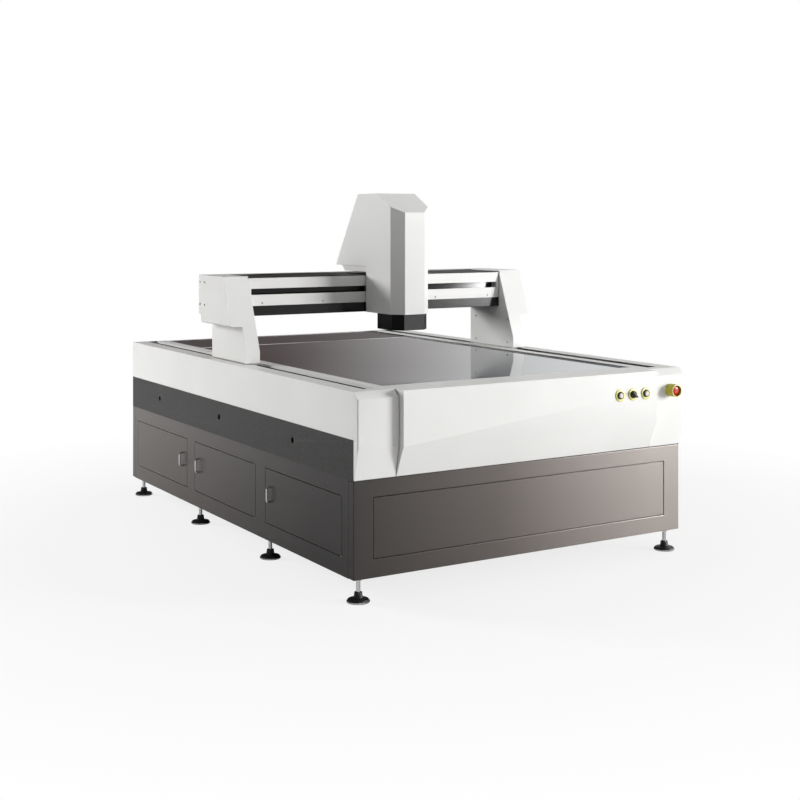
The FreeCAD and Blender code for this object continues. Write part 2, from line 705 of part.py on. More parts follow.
bore = "(button_radius + running_gap)"
ring_back = "(housing_depth + cover_sheet)"
bezel_front = f"({ring_back} + bezel_height)"
ring_front = f"{ring_back} + ring_height"
housing_shape = [(bore, "0"), ("housing_radius", "0"), ("housing_radius", ring_back),
                 ("ring_radius", ring_back),
                 ("ring_radius", ring_front), ("bezel_radius", ring_front),
                 ("bezel_radius", f"{bezel_front} - bezel_edge"),
                 ("bezel_radius - bezel_edge", bezel_front), (bore, bezel_front)]
housings = [outward(f"control_housing_{place + 1}", control_place(place), f"-front_reach + {ring_back}",
                    housing_shape)
            for place in range(3)]
stop_bore = "(stop_stem_radius + running_gap)"
collar_front = f"({ring_back} + collar_height)"
housings.append(outward("stop_housing", stop_place, f"-cap_reach + {ring_back}",
                        [(stop_bore, "stop_body_start"), ("stop_body_radius", "stop_body_start"),
                         ("stop_body_radius", ring_back), ("collar_radius", ring_back),
                         ("collar_radius", f"{collar_front} - collar_bevel"),
                         ("collar_radius - collar_bevel", collar_front), (stop_bore, collar_front)]))
control_housings = together("control_housings", housings)

button_face = "(-front_reach - bezel_height - button_proud)"
button_foot = f"{button_face} + button_length"
button_shape = [("0", "0"), ("button_radius", "0"), ("button_radius", "button_length - button_edge"),
                ("button_radius - button_edge", "button_length"), ("0", "button_length")]
start_button = outward("start_button", control_place(0), button_foot, button_shape)
reset_button = outward("reset_button", control_place(2), button_foot, button_shape)
lever_hub = outward("lever_hub", control_place(1), button_foot,
                    [("0", "0"), ("button_radius", "0"), ("button_radius", "button_length"),
                     ("0", "button_length")])
lever_bar = body("lever_bar", control_place(1), button_face, control_height, Rotation(along_y, 45))
pad(lever_bar, "XZ_Plane", window("-lever_length / 2", "-lever_width / 2", "lever_length / 2",
                                  "lever_width / 2"),
    "lever_height")
dress(lever_bar, "Fillet", "lever_round", lambda edge, limits: runs(edge, along_y))
selector_lever = fuse("selector_lever", [lever_hub, lever_bar])

mushroom_back = "(-cap_reach - collar_height - stop_gap)"
stop_stem = outward("stop_stem", stop_place, f"{mushroom_back} - mushroom_height / 2 + stop_stem_length",
                    [("0", "0"), ("stop_stem_radius", "0"), ("stop_stem_radius", "stop_stem_length"),
                     ("0", "stop_stem_length")])
socket = "(mushroom_height / 2 + free_gap)"
stop_knob = outward("stop_knob", stop_place, mushroom_back,
                    [("0", socket), (stop_bore, socket), (stop_bore, "0"),
                     ("mushroom_radius - mushroom_back_taper", "0"),
                     ("mushroom_radius", "mushroom_height / 2"), ("mushroom_radius",
                                                                  "mushroom_height - mushroom_shoulder"),
                     ("mushroom_radius - mushroom_crown_inset", "mushroom_height - mushroom_crown_drop"),
                     ("mushroom_radius - mushroom_flat_inset", "mushroom_height"),
                     ("0", "mushroom_height")])

controller_box = box("controller_box", "controller_width", "controller_depth", "controller_height",
                     f"{half} - frame_tube - controller_margin - controller_width",
                     "cabinet_depth - controller_rear - controller_depth", "foot_height + floor_sheet")


# Gantry legs: a casting on two bearing blocks inside a folded cover

leg_depth = "(leg_rear - leg_front)"
leg_width = "(leg_overhang + leg_inner_inset)"
bulge = "(leg_overhang + leg_outer_inset)"
leg_sheet = body("left_leg_sheet", f"-{half} - leg_overhang", "leg_front", leg_low)
pad(leg_sheet, "YZ_Plane", [("0", "0"), (leg_depth, "0"), (leg_depth, "leg_height"),
                            ("leg_slope", "leg_height"),
                            ("0", "leg_foot_height")], leg_width)
pocket(leg_sheet, "XZ_Plane", window("-cut_extra", "-cut_extra", bulge, "leg_ledge"))
dress(leg_sheet, "Fillet", "ledge_round",
      lambda edge, limits: runs(edge, along_y) and same(edge.BoundBox.XMin, limits.XMin)
      and edge.BoundBox.ZMax < limits.Center.z)
shell(leg_sheet, "leg_wall", underside)
beam_pass = box("left_beam_pass", "leg_wall + cut_extra", f"{beam_back} - {beam_face} + beam_pass_gap",
                f"{beam_top} - {beam_low} + cut_extra", f"-{leg_inner} - leg_wall - cut_extra / 2",
                f"{beam_face} - beam_pass_gap", beam_low)
left_leg_cover = cut("left_leg_cover", leg_sheet, [beam_pass])
right_leg_cover = mirrored("right_leg_cover", left_leg_cover)

casting_depth = f"({leg_depth} - casting_front_gap - beam_rear)"
casting_rise = f"({beam_top} - {block_top} - casting_gap)"
left_casting = body("left_leg_casting", f"-{casting_inner} - casting_thickness",
                    "leg_front + casting_front_gap", block_top)
pad(left_casting, "YZ_Plane", [("0", "0"), (casting_depth, "0"), (casting_depth, casting_rise),
                               ("leg_slope + casting_gap", casting_rise),
                               ("casting_gap", f"{leg_low} + leg_foot_height - {block_top}")],
    "casting_thickness")
leg_castings = together("leg_castings", [left_casting, mirrored("right_leg_casting", left_casting)])

groove_low = "(block_width / 2 - rail_width / 2 - free_gap)"
groove_high = "(block_width / 2 + rail_width / 2 + free_gap)"
groove_top = "(rail_height + free_gap)"
casting_outer = f"({casting_inner} + casting_thickness)"
coil_span = f"({half} - track_inset - {casting_outer})"
blocks = []
coils = []
for side, sign in (("left", -1), ("right", 1)):
    for end, y in (("front", "leg_front + casting_front_gap"), ("rear", f"{beam_back} - block_length")):
        block = body(f"{side}_{end}_block", f"{sign} * {slot_middle} - block_width / 2", y, granite_top)
        pad(block, "XZ_Plane", [("0", "block_lift"), (groove_low, "block_lift"), (groove_low, groove_top),
                                (groove_high, groove_top), (groove_high, "block_lift"),
                                ("block_width", "block_lift"),
                                ("block_width", "block_height"), ("0", "block_height")], "block_length",
            reverse=True)
        blocks.append(block)
    coils.append(box(f"{side}_coil", coil_span, "coil_length", "coil_height",
                     f"-{half} + track_inset" if sign < 0 else casting_outer,
                     "leg_front + casting_front_gap + block_length + block_end",
                     f"{granite_top} + track_height + coil_lift"))
gantry_blocks = together("gantry_blocks", blocks)
gantry_coils = together("gantry_coils", coils)


# Beam with two guide rails and its covers

beam_length = f"(2 * {casting_inner})"
beam_depth = f"({beam_back} - {beam_face})"
beam_rise = f"({beam_top} - {beam_low} - beam_plate_thickness)"
cross_beam = body("cross_beam", f"-{beam_length} / 2", beam_face, beam_low)
pad(cross_beam, "YZ_Plane", [("0", "0"), (beam_depth, "0"), (beam_depth, beam_rise),
                             ("beam_step", beam_rise),
                             ("beam_step", "beam_step_height"), ("0", "beam_step_height")], beam_length)
beam_top_plate = box("beam_top_plate", f"2 * {leg_inner} - 2 * beam_plate_gap",
                     f"{beam_back} - {cover_face}",
                     "beam_plate_thickness", f"-{leg_inner} + beam_plate_gap", cover_face,
                     f"{beam_top} - beam_plate_thickness")

cover_length = f"(2 * ({leg_inner} - beam_cover_end))"
fold = f"({rail_face} - {cover_face})"
upper_rise = f"({beam_top} - beam_plate_thickness - {slot_high})"
fold_low = f"({upper_rise} - beam_cover_sheet)"
beam_upper_cover = body("beam_upper_cover", f"-{cover_length} / 2", cover_face, slot_high)
pad(beam_upper_cover, "YZ_Plane", [("0", "0"), ("beam_cover_sheet", "0"), ("beam_cover_sheet", fold_low),
                                   (fold, fold_low), (fold, upper_rise), ("0", upper_rise)], cover_length)
beam_lower_cover = body("beam_lower_cover", f"-{cover_length} / 2", cover_face, step_top)
pad(beam_lower_cover, "YZ_Plane", [("0", "0"), (fold, "0"), (fold, "beam_cover_sheet"),
                                   ("beam_cover_sheet", "beam_cover_sheet"),
                                   ("beam_cover_sheet", "slot_above_step"),
                                   ("0", "slot_above_step")], cover_length)
beam_rear_cover = body("beam_rear_cover", f"-{half}", "leg_rear", beam_low)
pad(beam_rear_cover, "YZ_Plane", rectangle("rear_cover_depth", "beam_drop"), "cabinet_width")
shell(beam_rear_cover, "beam_cover_sheet", front_end)

x_rail_low = f"({slot_low} - x_rail_set)"
x_rail_high = f"({slot_high} + x_rail_set)"
block_back = "(x_block_height - x_block_gap)"
groove_floor = "(x_block_height - x_rail_height - free_gap)"
lip_low = "(x_block_width / 2 - x_rail_width / 2 - free_gap)"
lip_high = "(x_block_width / 2 + x_rail_width / 2 + free_gap)"
x_block_places = {"left": f"{head_middle} - head_width / 2 + x_block_inset",
                  "right": f"{head_middle} + head_width / 2 - x_block_inset - x_block_length"}
rail_pieces = []
block_pieces = []
for row, z in (("low", x_rail_low), ("high", x_rail_high)):
    rail_pieces.append(box(f"beam_rail_{row}", f"{cover_length} - 2 * x_rail_end", "x_rail_height",
                           "x_rail_width",
                           f"-{cover_length} / 2 + x_rail_end", f"{rail_face} - x_rail_height",
                           f"{z} - x_rail_width / 2"))
    for end, x in x_block_places.items():
        block = body(f"x_block_{row}_{end}", x, carriage_back, f"{z} - x_block_width / 2")
        pad(block, "YZ_Plane", [("0", "0"), (block_back, "0"), (block_back, lip_low),
                                (groove_floor, lip_low),
                                (groove_floor, lip_high), (block_back, lip_high),
                                (block_back, "x_block_width"),
                                ("0", "x_block_width")], "x_block_length")
        block_pieces.append(block)
beam_rails = together("beam_rails", rail_pieces)
x_blocks = together("x_blocks", block_pieces)


# Head: a carriage whose web passes the beam's slot, a saddle over the beam, the cover and the focus drive

carriage_width = "(head_width - 2 * head_sheet)"
web_low = f"({slot_low} + (beam_slot - carriage_web) / 2 - {carriage_low})"
web_high = f"({web_low} + carriage_web)"
web_back = "(carriage_plate + carriage_web_reach)"
flange_low = f"({x_rail_low} - x_block_width / 2 - {carriage_low})"
flange_high = f"({x_rail_high} + x_block_width / 2 - {carriage_low})"
flange_back = f"({web_back} + carriage_flange)"
x_carriage = body("x_carriage", f"{head_middle} - {carriage_width} / 2", plate_front, carriage_low)
pad(x_carriage, "YZ_Plane", [("0", "0"), ("carriage_plate", "0"), ("carriage_plate", web_low),
                             (web_back, web_low),
                             (web_back, flange_low), (flange_back, flange_low),
                             (flange_back, flange_high),
                             (web_back, flange_high), (web_back, web_high), ("carriage_plate", web_high),
                             ("carriage_plate", "carriage_height"), ("0", "carriage_height")],
    carriage_width)

saddle_length = f"({saddle_rear} - {plate_back})"
head_saddle = body("head_saddle", f"{head_middle} - {carriage_width} / 2 + saddle_side_gap", plate_back,
                   f"{head_rear_low} - saddle_height")
pad(head_saddle, "YZ_Plane", [("0", "0"), (saddle_length, "0"), (f"{saddle_length} + saddle_bevel",
                                                                 "saddle_height"),
                              ("0", "saddle_height")], f"{carriage_width} - 2 * saddle_side_gap")

head_cover = body("head_cover", f"{head_middle} - head_width / 2", head_front, head_low)
front_part = f"({head_rear_face} - {head_front})"
rear_rise = f"({head_rear_low} - {head_low})"
pad(head_cover, "YZ_Plane", [("0", "0"), (front_part, "0"), (front_part, rear_rise),
                             ("head_depth", rear_rise),
                             ("head_depth", f"{rear_rise} + head_rear_edge"),
                             ("head_brow_depth + head_top_depth", "head_height"),
                             ("head_brow_depth", "head_height"),
                             ("0", "head_front_height")], "head_width")
dress(head_cover, "Chamfer", "head_chamfer", upright_front)
shell(head_cover, "head_sheet", lambda face, limits: looks(face, -along_z)
      or (looks(face, along_y) and same(face.BoundBox.ZMin, limits.ZMin)))

motor = box("motor_case", "motor_side", "motor_side", "motor_height", f"{head_middle} - motor_side / 2",
            f"{screw_axis} - motor_side / 2", carriage_top)
shelf = box("motor_shelf", "motor_side + 2 * motor_shelf_edge", "motor_side + carriage_plate",
            "motor_flange",
            f"{head_middle} - motor_side / 2 - motor_shelf_edge", f"{screw_axis} - motor_side / 2",
            carriage_top)
z_motor = fuse("z_motor", [motor, shelf])
z_rails = together("z_rails", [box(f"z_rail_{side}", "z_rail_width", "z_rail_height", "z_rail_length",
                                   f"{head_middle} + {sign} * z_rail_place - z_rail_width / 2",
                                   f"{plate_front} - z_rail_height", z_rail_low)
                               for side, sign in (("left", -1), ("right", 1))])
z_screw = rod("z_screw", "screw_radius", f"{carriage_top} - {z_rail_low} - free_gap", head_middle,
              screw_axis, z_rail_low)


# Optics that move up and down to focus

slide_front = f"({plate_front} - slide_stand - slide_thickness)"
inside = "(slide_thickness + slide_stand - z_rail_height - free_gap)"


def rail_groove(middle):
    near = f"({middle} - z_rail_width / 2 - free_gap)"
    far = f"({middle} + z_rail_width / 2 + free_gap)"
    return [(far, "slide_thickness"), (far, inside), (near, inside), (near, "slide_thickness")]


slide = body("slide_profile", f"{head_middle} - slide_width / 2", slide_front, slide_low)
pad(slide, "XY_Plane", [("0", "0"), ("slide_width", "0"), ("slide_width", "slide_thickness")]
    + rail_groove("slide_width / 2 + z_rail_place") + rail_groove("slide_width / 2 - z_rail_place")
    + [("0", "slide_thickness")], "slide_height")
screw_bore = rod("screw_bore", "screw_radius + running_gap", "slide_height", head_middle, screw_axis,
                 slide_low)
bored_slide = cut("bored_slide", slide, [screw_bore])

bracket_low = f"({slide_low} + bracket_rise)"
bracket = box("bracket_plate", "bracket_width", f"{slide_front} - {lens_axis} + bracket_width / 2",
              "bracket_height",
              f"{head_middle} - bracket_width / 2", f"{lens_axis} - bracket_width / 2", bracket_low)
lens_seat = rod("lens_seat", "lens_radius", "bracket_height", head_middle, lens_axis, bracket_low)
bored_bracket = cut("bored_bracket", bracket, [lens_seat])
focus_slide = fuse("focus_slide", [bored_slide, bored_bracket])

lens_waist = "(lens_height - lens_neck)"
zoom_lens = body("zoom_lens", head_middle, lens_axis, lens_low, Rotation(along_x, 90))
turned(zoom_lens, [("0", "0"), ("lens_front_radius", "0"), ("lens_front_radius", "lens_barrel"),
                   ("lens_radius", "lens_barrel + lens_cone"), ("lens_radius",
                                                                f"{lens_waist} - lens_collar"),
                   ("lens_front_radius", lens_waist), ("lens_front_radius", "lens_height"),
                   ("0", "lens_height")])
camera = body("camera", f"{head_middle} - camera_side / 2", f"{lens_axis} - camera_side / 2",
              f"{lens_low} + lens_height")
pad(camera, "XY_Plane", rectangle("camera_side", "camera_side"), "camera_height")
dress(camera, "Fillet", "camera_round", lambda edge, limits: runs(edge, along_z))

nose_width = "(head_width - 2 * nose_inset)"
nose_shell = body("nose_shell", f"{head_middle} - {nose_width} / 2", f"{head_front} + nose_inset",
                  nose_low)
pad(nose_shell, "XY_Plane", rectangle(nose_width, "nose_depth"), "nose_height")
dress(nose_shell, "Chamfer", "head_chamfer - nose_inset", upright_front)
shell(nose_shell, "nose_sheet", underside)
nose_bore = rod("nose_bore", "lens_front_radius", "nose_height + cut_extra", head_middle, lens_axis,
                nose_low)
nose_cover = cut("nose_cover", nose_shell, [nose_bore])
ring_low = f"({lens_low} + ring_light_lift)"
ring_blank = rod("ring_blank", "ring_light_radius", "ring_light_height", head_middle, lens_axis, ring_low)
ring_bore = rod("ring_bore", "lens_front_radius", "ring_light_height", head_middle, lens_axis, ring_low)
ring_light = cut("ring_light", ring_blank, [ring_bore])

doc.recompute()

nodes = {
    "front_frame": front_frame, "rear_frame": rear_frame, "left_side_frame": left_side_frame,
    "right_side_frame": right_side_frame, "cabinet_floor": cabinet_floor, "front_panel": front_panel,
    "fixed_panels": fixed_panels, "hinge_pins": hinge_pins, "foot_pads": foot_pads,
    "foot_stems": foot_stems,
    "granite_base": granite_base, "left_side_cover": left_side_cover,
    "right_side_cover": right_side_cover,
    "slot_strips": slot_strips, "front_cover": front_cover, "left_front_cap": left_front_cap,
    "right_front_cap": right_front_cap, "rear_cover": rear_cover, "stage_frame": stage_frame,
    "glass_stage": glass_stage, "backlight_panel": backlight_panel, "rear_deck": rear_deck,
    "guide_rails": guide_rails, "magnet_tracks": magnet_tracks, "control_housings": control_housings,
    "start_button": start_button, "reset_button": reset_button, "selector_lever": selector_lever,
    "stop_stem": stop_stem, "stop_knob": stop_knob, "controller_box": controller_box,
    "left_leg_cover": left_leg_cover, "right_leg_cover": right_leg_cover, "leg_castings": leg_castings,
    "gantry_blocks": gantry_blocks, "gantry_coils": gantry_coils, "cross_beam": cross_beam,
    "beam_top_plate": beam_top_plate, "beam_upper_cover": beam_upper_cover,
    "beam_lower_cover": beam_lower_cover,
    "beam_rear_cover": beam_rear_cover, "beam_rails": beam_rails, "x_blocks": x_blocks,
    "x_carriage": x_carriage,
    "head_saddle": head_saddle, "head_cover": head_cover, "z_motor": z_motor, "z_rails": z_rails,
    "z_screw": z_screw, "focus_slide": focus_slide, "zoom_lens": zoom_lens, "camera": camera,
    "nose_cover": nose_cover, "ring_light": ring_light,
}
nodes.update(door_nodes)

faulty = [item.Name for item in doc.Objects if "Invalid" in item.State or "Error" in item.State]
if faulty:
    raise RuntimeError(f"these objects did not build: {faulty}")
os.makedirs("parts", exist_ok=True)
for name, node in nodes.items():
    node.Label = name
    if node.Shape.isNull() or not node.Shape.isValid():
        raise RuntimeError(f"{name} has no valid shape")
    node.Shape.exportStep(f"parts/{name}.step")
print(len(nodes), "nodes written")
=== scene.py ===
import json
import math
import bmesh
import bpy
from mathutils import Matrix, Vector


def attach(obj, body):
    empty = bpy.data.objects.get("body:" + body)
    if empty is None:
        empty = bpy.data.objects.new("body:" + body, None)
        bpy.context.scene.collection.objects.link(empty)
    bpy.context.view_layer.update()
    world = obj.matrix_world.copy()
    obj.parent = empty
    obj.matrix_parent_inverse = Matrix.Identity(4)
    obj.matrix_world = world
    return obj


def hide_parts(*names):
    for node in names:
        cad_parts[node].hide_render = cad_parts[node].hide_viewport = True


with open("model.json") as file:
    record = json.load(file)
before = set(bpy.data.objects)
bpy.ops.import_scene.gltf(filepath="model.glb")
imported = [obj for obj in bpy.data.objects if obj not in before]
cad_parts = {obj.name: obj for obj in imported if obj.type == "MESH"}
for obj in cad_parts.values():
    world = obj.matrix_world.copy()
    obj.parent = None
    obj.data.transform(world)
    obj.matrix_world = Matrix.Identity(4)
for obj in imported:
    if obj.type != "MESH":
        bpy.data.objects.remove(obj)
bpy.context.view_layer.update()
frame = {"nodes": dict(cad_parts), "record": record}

# Dresses the vision measuring machine: paints, stone and glass, rounded sheet edges, control rings, door pulls,
# screws, slot linings and seals. Metres. X is across the machine, Y runs to its rear, Z is up from the floor.

nodes = frame["nodes"]
scene = bpy.context.scene
print("frame loaded")


# Camera

view = {
    "place": (-3.2455, -5.4941, 1.4515),
    "turn": math.radians(31.286),     # to the right of straight ahead
    "lens": 59.505,                   # millimetres on a 36 mm sensor
    "riseShift": -0.2246,             # keeps the uprights parallel
}

cameraData = bpy.data.cameras.new("camera")
cameraData.lens = view["lens"]
cameraData.sensor_width = 36
cameraData.shift_y = view["riseShift"]
cameraData.clip_end = 100
camera = bpy.data.objects.new("camera", cameraData)
camera.location = view["place"]
camera.rotation_euler = (math.radians(90), 0, -view["turn"])
scene.collection.objects.link(camera)
scene.camera = camera
scene.view_settings.view_transform = "Standard"


# Node helpers for materials

def newMaterial(name):
    material = bpy.data.materials.new(name)
    material.use_nodes = True
    shader = material.node_tree.nodes["Principled BSDF"]
    return material, material.node_tree, shader


def link(tree, source, out, target, into):
    tree.links.new(source.outputs[out], target.inputs[into])


def objectCoords(tree, scale=(1, 1, 1)):
    coords = tree.nodes.new("ShaderNodeTexCoord")
    mapping = tree.nodes.new("ShaderNodeMapping")
    mapping.inputs["Scale"].default_value = scale
    link(tree, coords, "Object", mapping, "Vector")
    return mapping


def noise(tree, coords, scale, detail=3, rough=0.5):
    texture = tree.nodes.new("ShaderNodeTexNoise")
    texture.inputs["Scale"].default_value = scale
    texture.inputs["Detail"].default_value = detail
    texture.inputs["Roughness"].default_value = rough
    link(tree, coords, "Vector", texture, "Vector")
    return texture


def ramp(tree, source, out, stops):
    node = tree.nodes.new("ShaderNodeValToRGB")
    node.color_ramp.elements[0].position = stops[0][0]
    node.color_ramp.elements[0].color = stops[0][1]
    node.color_ramp.elements[1].position = stops[-1][0]
    node.color_ramp.elements[1].color = stops[-1][1]
    for place, colour in stops[1:-1]:
        element = node.color_ramp.elements.new(place)
        element.color = colour
    link(tree, source, out, node, "Fac")
    return node


def shade(colour, factor):
    return tuple(channel * factor for channel in colour[:3]) + (1,)


def bump(tree, shader, source, out, strength, distance):
    node = tree.nodes.new("ShaderNodeBump")
    node.inputs["Strength"].default_value = strength
    node.inputs["Distance"].default_value = distance
    link(tree, source, out, node, "Height")
    link(tree, node, "Normal", shader, "Normal")
    return node


def roughRange(tree, shader, source, out, low, high):
    node = tree.nodes.new("ShaderNodeMapRange")
    node.inputs["To Min"].default_value = low
    node.inputs["To Max"].default_value = high
    link(tree, source, out, node, "Value")
    link(tree, node, "Result", shader, "Roughness")
    return node


# Finishes. Peel is how fine the texture of a coat is, shine how much it mirrors.

finish = {
    "whitePaint": {"colour": (0.80, 0.798, 0.782), "rough": (0.30, 0.40), "peel": 900, "shine": 0.16},
    "blackCoat": {"colour": (0.003, 0.003, 0.003), "rough": (0.42, 0.55), "peel": 1300, "shine": 0.3},
    "blackPlastic": {"colour": (0.014, 0.014, 0.015), "rough": (0.42, 0.55), "peel": 1600},
    "yellowPlastic": {"colour": (0.50, 0.44, 0.030), "rough": (0.30, 0.38), "peel": 1500},
    # painted light: the paler yellow of the lit front faces of the yellow controls
    "yellowPaintedLitFace": {"colour": (0.80, 0.80, 0.30), "rough": (0.28, 0.36), "peel": 1500},
    "redPlastic": {"colour": (0.52, 0.018, 0.012), "rough": (0.22, 0.30), "peel": 1500},
    "palePlastic": {"colour": (0.66, 0.60, 0.56), "rough": (0.22, 0.30), "peel": 1500},
    "castPaint": {"colour": (0.52, 0.52, 0.50), "rough": (0.45, 0.60), "peel": 260},
    "polishedBlack": {"colour": (0.012, 0.011, 0.011), "rough": (0.10, 0.20), "peel": 700},
    "deckPaint": {"colour": (0.075, 0.060, 0.065), "rough": (0.28, 0.40), "peel": 900},
    "rubber": {"colour": (0.003, 0.003, 0.003), "rough": (0.75, 0.90), "peel": 600, "shine": 0.08},
}


def coatedFinish(name, facts):
    # paint or moulded plastic with a fine orange peel
    material, tree, shader = newMaterial(name)
    coords = objectCoords(tree)
    broad = noise(tree, coords, 2.2, 2)
    fine = noise(tree, coords, facts["peel"], 2, 0.6)
    tone = ramp(tree, broad, "Fac", [(0.3, shade(facts["colour"], 0.965)), (0.7, shade(facts["colour"], 1.02))])
    link(tree, tone, "Color", shader, "Base Color")
    shader.inputs["Specular IOR Level"].default_value = facts.get("shine", 0.5)
    roughRange(tree, shader, fine, "Fac", *facts["rough"])
    bump(tree, shader, fine, "Fac", 0.05, 0.0004)
    return material


def metalFinish(name, colour, rough, stretch, strength=0.08):
    # the grain runs along the axis that stretch makes small
    material, tree, shader = newMaterial(name)
    coords = objectCoords(tree, stretch)
    grain = noise(tree, coords, 420, 4, 0.65)
    tone = ramp(tree, grain, "Fac", [(0.25, shade(colour, 0.86)), (0.75, shade(colour, 1.06))])
    link(tree, tone, "Color", shader, "Base Color")
    shader.inputs["Metallic"].default_value = 1
    roughRange(tree, shader, grain, "Fac", rough[0], rough[1])
    bump(tree, shader, grain, "Fac", strength, 0.0002)
    return material


def cabinetPaintWithPaintedReflection():
    # metallic flake taupe paint with a painted reflection in its colour: darkest at the front left corner and lighter
    # along both sides from it
    facts = {"deep": (0.030, 0.027, 0.026), "middle": (0.118, 0.102, 0.094), "light": (0.330, 0.295, 0.272),
             "leftEdge": -0.82, "rightEdge": 0.83, "frontEdge": -1.0, "rearEdge": 1.2, "cornerLift": 0.05,
             "frontPaintedReflection": 0.74, "sidePaintedReflection": 0.36, "paintedSideShade": 0.08, "flakes": 2400, "flakeTone": 0.10,
             "metal": 0.35, "rough": (0.26, 0.38)}
    material, tree, shader = newMaterial("taupePaintedReflection")
    coords = objectCoords(tree)
    split = tree.nodes.new("ShaderNodeSeparateXYZ")
    link(tree, coords, "Vector", split, "Vector")
    across = tree.nodes.new("ShaderNodeMapRange")
    across.inputs["From Min"].default_value = facts["leftEdge"]
    across.inputs["From Max"].default_value = facts["rightEdge"]
    across.inputs["To Min"].default_value = facts["cornerLift"]
    across.inputs["To Max"].default_value = facts["frontPaintedReflection"]
    link(tree, split, "X", across, "Value")
    along = tree.nodes.new("ShaderNodeMapRange")
    along.inputs["From Min"].default_value = facts["frontEdge"]
    along.inputs["From Max"].default_value = facts["rearEdge"]
    along.inputs["To Max"].default_value = facts["sidePaintedReflection"]
    link(tree, split, "Y", along, "Value")
    facing = tree.nodes.new("ShaderNodeTexCoord")
    turned = tree.nodes.new("ShaderNodeSeparateXYZ")
    link(tree, facing, "Normal", turned, "Vector")
    side = tree.nodes.new("ShaderNodeMath")          # painted shade: faces turned to the sides are a little darker than the front
    side.operation = "MULTIPLY_ADD"
    side.inputs[1].default_value = facts["paintedSideShade"]
    link(tree, turned, "X", side, 0)
    link(tree, along, "Result", side, 2)
    # painted reflection level: lighter towards the right along the front and towards the rear along the side
    paintedReflectionLevel = tree.nodes.new("ShaderNodeMath")
    link(tree, across, "Result", paintedReflectionLevel, 0)
    link(tree, side, "Value", paintedReflectionLevel, 1)
    flake = noise(tree, coords, facts["flakes"], 2, 0.7)
    sparkle = tree.nodes.new("ShaderNodeMath")
    sparkle.operation = "MULTIPLY_ADD"
    sparkle.inputs[1].default_value = facts["flakeTone"]
    link(tree, flake, "Fac", sparkle, 0)
    link(tree, paintedReflectionLevel, "Value", sparkle, 2)
    tone = ramp(tree, sparkle, "Value", [(0.05, shade(facts["deep"], 1)), (0.38, shade(facts["middle"], 1)),
                                         (0.72, shade(facts["light"], 1))])
    link(tree, tone, "Color", shader, "Base Color")
    shader.inputs["Metallic"].default_value = facts["metal"]
    roughRange(tree, shader, flake, "Fac", *facts["rough"])
    bump(tree, shader, flake, "Fac", 0.04, 0.0002)
    return material


def graniteFinish():
    # black stone with fine grey specks
    facts = {"ground": (0.009, 0.0086, 0.0086), "speck": (0.100, 0.094, 0.091), "grainPerMetre": 230}
    material, tree, shader = newMaterial("graniteStone")
    coords = objectCoords(tree)
    cells = tree.nodes.new("ShaderNodeTexVoronoi")
    cells.inputs["Scale"].default_value = facts["grainPerMetre"]
    link(tree, coords, "Vector", cells, "Vector")
    specks = noise(tree, coords, facts["grainPerMetre"] * 0.8, 6, 0.75)
    tone = ramp(tree, specks, "Fac", [(0.44, shade(facts["ground"], 1)), (0.60, shade(facts["speck"], 0.45)),
                                      (0.74, shade(facts["speck"], 1))])
    mix = tree.nodes.new("ShaderNodeMix")
    mix.data_type = "RGBA"
    mix.blend_type = "MULTIPLY"
    mix.inputs["Factor"].default_value = 0.35
    tree.links.new(tone.outputs["Color"], mix.inputs[6])
    tree.links.new(cells.outputs["Color"], mix.inputs[7])
    tree.links.new(mix.outputs[2], shader.inputs["Base Color"])
    roughRange(tree, shader, specks, "Fac", 0.34, 0.55)
    bump(tree, shader, specks, "Fac", 0.10, 0.0003)
    return material


def stageGlassPaintedReflectionFinish():
    # float glass over an opal panel, with a painted reflection in its colour: dark at the rear left, pale blue at the
    # front right
    facts = {"paintedDarkReflection": (0.040, 0.033, 0.036), "middle": (0.075, 0.070, 0.078), "pale": (0.30, 0.35, 0.38),
             "rearLeft": -1.0, "frontRight": 1.7, "haze": 0.25, "rough": (0.03, 0.06), "bend": 1.45}
    material, tree, shader = newMaterial("glassWithPaintedReflection")
    coords = objectCoords(tree)
    split = tree.nodes.new("ShaderNodeSeparateXYZ")
    link(tree, coords, "Vector", split, "Vector")
    # painted reflection: the colour runs from dark at the rear left to pale at the front right
    paintedReflectionSlant = tree.nodes.new("ShaderNodeMath")
    paintedReflectionSlant.operation = "SUBTRACT"
    link(tree, split, "X", paintedReflectionSlant, 0)
    link(tree, split, "Y", paintedReflectionSlant, 1)
    haze = noise(tree, coords, 1.6, 2)
    veil = tree.nodes.new("ShaderNodeMath")
    veil.operation = "MULTIPLY_ADD"
    veil.inputs[1].default_value = facts["haze"]
    link(tree, haze, "Fac", veil, 0)
    link(tree, paintedReflectionSlant, "Value", veil, 2)
    spread = tree.nodes.new("ShaderNodeMapRange")
    spread.inputs["From Min"].default_value = facts["rearLeft"]
    spread.inputs["From Max"].default_value = facts["frontRight"]
    link(tree, veil, "Value", spread, "Value")
    tone = ramp(tree, spread, "Result", [(0.0, shade(facts["paintedDarkReflection"], 1)), (0.5, shade(facts["middle"], 1)),
                                         (1.0, shade(facts["pale"], 1))])
    link(tree, tone, "Color", shader, "Base Color")
    roughRange(tree, shader, haze, "Fac", *facts["rough"])
    shader.inputs["IOR"].default_value = facts["bend"]
    return material


def diffuserFinish():
    # opal plastic of the light panel
    material, tree, shader = newMaterial("opalDiffuser")
    coords = objectCoords(tree)
    grain = noise(tree, coords, 700, 2)
    tone = ramp(tree, grain, "Fac", [(0.3, (0.70, 0.73, 0.75, 1)), (0.7, (0.76, 0.79, 0.81, 1))])
    link(tree, tone, "Color", shader, "Base Color")
    shader.inputs["Roughness"].default_value = 0.4
    bump(tree, shader, grain, "Fac", 0.05, 0.0002)
    return material


